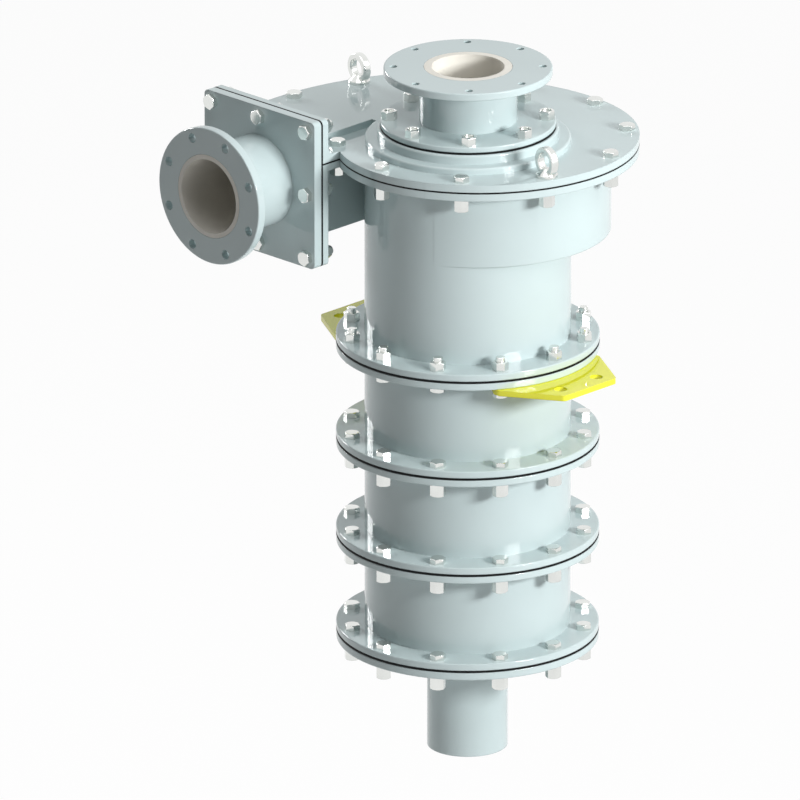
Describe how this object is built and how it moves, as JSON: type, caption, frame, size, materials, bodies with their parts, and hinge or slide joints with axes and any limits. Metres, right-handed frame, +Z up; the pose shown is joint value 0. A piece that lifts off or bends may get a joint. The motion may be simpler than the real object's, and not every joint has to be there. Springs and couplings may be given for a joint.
{
  "type": "hydrocyclone gravity separator",
  "caption": "Upright flanged separator with a scroll-shaped feed head, bolted barrels with a tapered lining, an overflow neck on top and an underflow pipe below.",
  "frame": {"origin": "centre of the open end of the underflow pipe", "axes": "+Z up along the main axis, feed flange faces -X, feed duct on the +Y side"},
  "size_m": [0.692, 0.6795, 1.238],
  "materials": {
    "painted_steel": "glossy pale blue-grey paint",
    "bracket_paint": "glossy yellow paint",
    "zinc_steel": "bright zinc plating",
    "gasket_rubber": "matt black",
    "lining": "matt cream wear lining"
  },
  "bodies": {
    "root": {"feed_spool": "painted_steel", "inlet_head": "painted_steel", "lid": "painted_steel", "overflow_spool": "painted_steel", "upper_barrel": "painted_steel", "middle_barrel": "painted_steel", "lower_barrel": "painted_steel", "discharge_plate": "painted_steel", "right_bracket": "bracket_paint", "left_bracket": "bracket_paint", "feed_bolts": "zinc_steel", "feed_nuts": "zinc_steel", "lid_bolts": "zinc_steel", "lid_nuts": "zinc_steel", "lifting_eyes": "zinc_steel", "overflow_studs": "zinc_steel", "overflow_nuts": "zinc_steel", "joint_1_bolts": "zinc_steel", "joint_2_bolts": "zinc_steel", "joint_3_bolts": "zinc_steel", "joint_4_bolts": "zinc_steel", "joint_1_nuts": "zinc_steel", "joint_2_nuts": "zinc_steel", "joint_3_nuts": "zinc_steel", "joint_4_nuts": "zinc_steel", "feed_gasket": "gasket_rubber", "lid_gasket": "gasket_rubber", "overflow_gasket": "gasket_rubber", "joint_1_gasket": "gasket_rubber", "joint_2_gasket": "gasket_rubber", "joint_3_gasket": "gasket_rubber", "joint_4_gasket": "gasket_rubber", "feed_liner": "lining", "head_liner": "lining", "lid_liner": "lining", "vortex_finder": "lining", "overflow_liner": "lining", "upper_cone_liner": "lining", "middle_cone_liner": "lining", "lower_cone_liner": "lining", "spigot_liner": "lining"}
  },
  "joints": []
}
